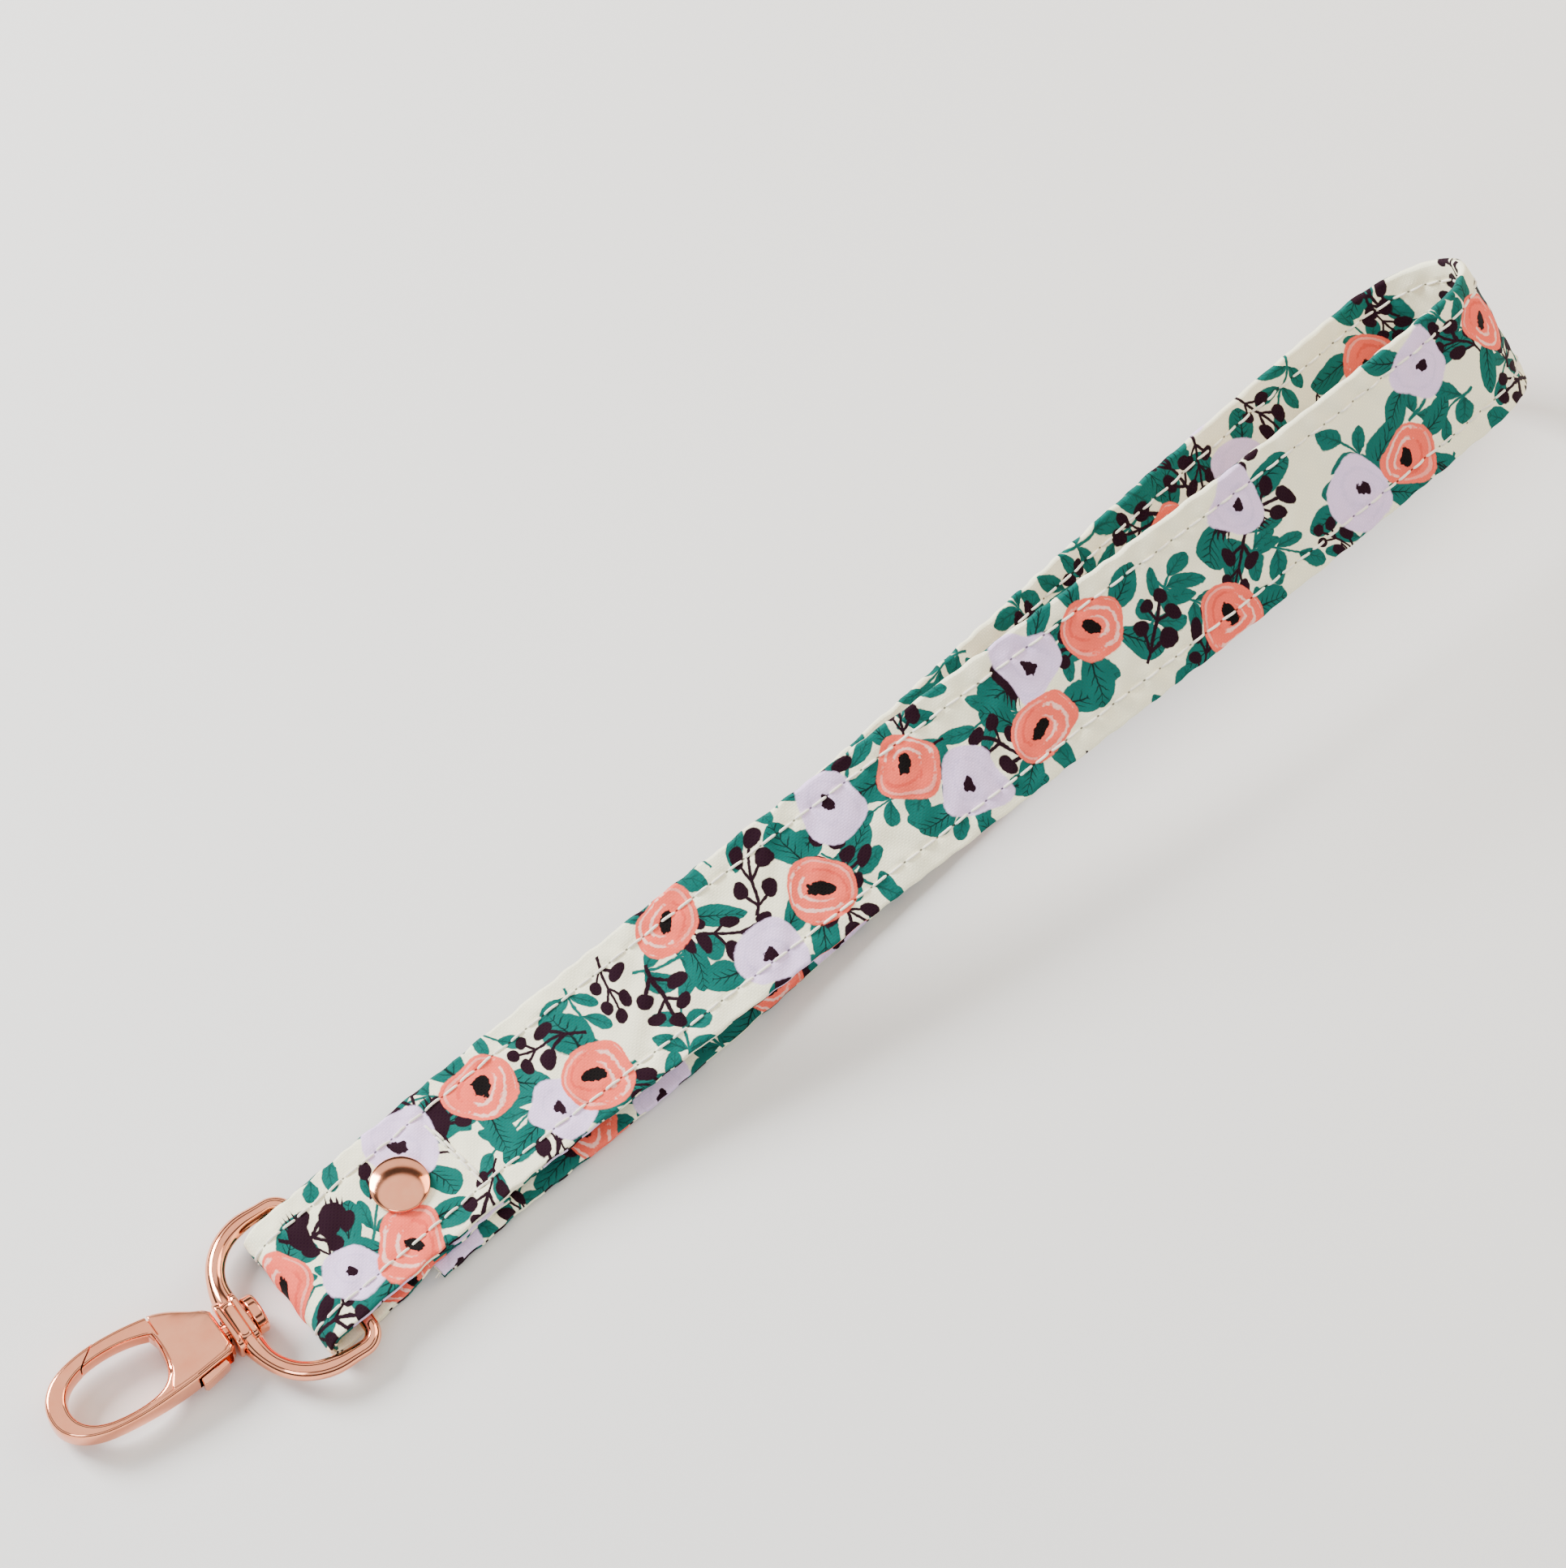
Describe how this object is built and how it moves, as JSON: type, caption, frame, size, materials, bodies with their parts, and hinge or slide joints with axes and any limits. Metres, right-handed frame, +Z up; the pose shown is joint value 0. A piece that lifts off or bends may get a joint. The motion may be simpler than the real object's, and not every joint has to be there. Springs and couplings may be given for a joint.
{
  "type": "wristlet keychain",
  "caption": "Printed cotton wrist loop closed by a rivet round a D-ring, with a swivelling spring-gate snap hook for keys.",
  "frame": {"origin": "the rivet's axis on the plane the keychain rests on, which is the flat back of the rivet", "axes": "+X runs along the strap from the rivet to the far bend of the wrist loop, +Z is up through the rivet, and the snap hook is on the -X side"},
  "size_m": [0.2431, 0.0342, 0.0293],
  "materials": {
    "printed_cotton": "woven cotton, floral print on ivory",
    "interfacing": "bonded non-woven padding",
    "thread": "off-white polyester sewing thread",
    "rose_gold": "polished rose-gold plating",
    "spring_steel": "bright spring wire"
  },
  "bodies": {
    "strap": {"strap_fabric": "printed_cotton", "strap_interfacing": "interfacing", "topstitch_needle_open_edge": "thread", "topstitch_needle_fold_edge": "thread", "topstitch_bobbin_open_edge": "thread", "topstitch_bobbin_fold_edge": "thread", "tack_needle_thread": "thread", "tack_bobbin_thread": "thread", "rivet_post": "rose_gold", "rivet_cap": "rose_gold"},
    "ring": {"d_ring": "rose_gold"},
    "hook": {"swivel_rivet": "rose_gold", "hook_body": "rose_gold", "gate_pin": "rose_gold", "gate_spring": "spring_steel"},
    "gate": {"gate": "rose_gold"}
  },
  "joints": [
    {"name": "ring_swing", "type": "hinge", "parent": "strap", "child": "ring", "pos_m": [-0.01317, -0.00133, 0.00278], "axis": [-0.1564, -0.9877, 0], "range_deg": [-120, 120]},
    {"name": "hook_swivel", "type": "hinge", "parent": "ring", "child": "hook", "pos_m": [-0.0266, 0.0008, 0.00278], "axis": [-0.9877, 0.1564, 0], "continuous": true},
    {"name": "gate_open", "type": "hinge", "parent": "hook", "child": "gate", "pos_m": [-0.03348, 0.00179, 0.00278], "axis": [0, 0, 1], "range_deg": [0, 16], "stiffness_Nm_per_rad": 0.02, "springref_deg": -28.65, "deforming": ["gate_spring"]}
  ]
}
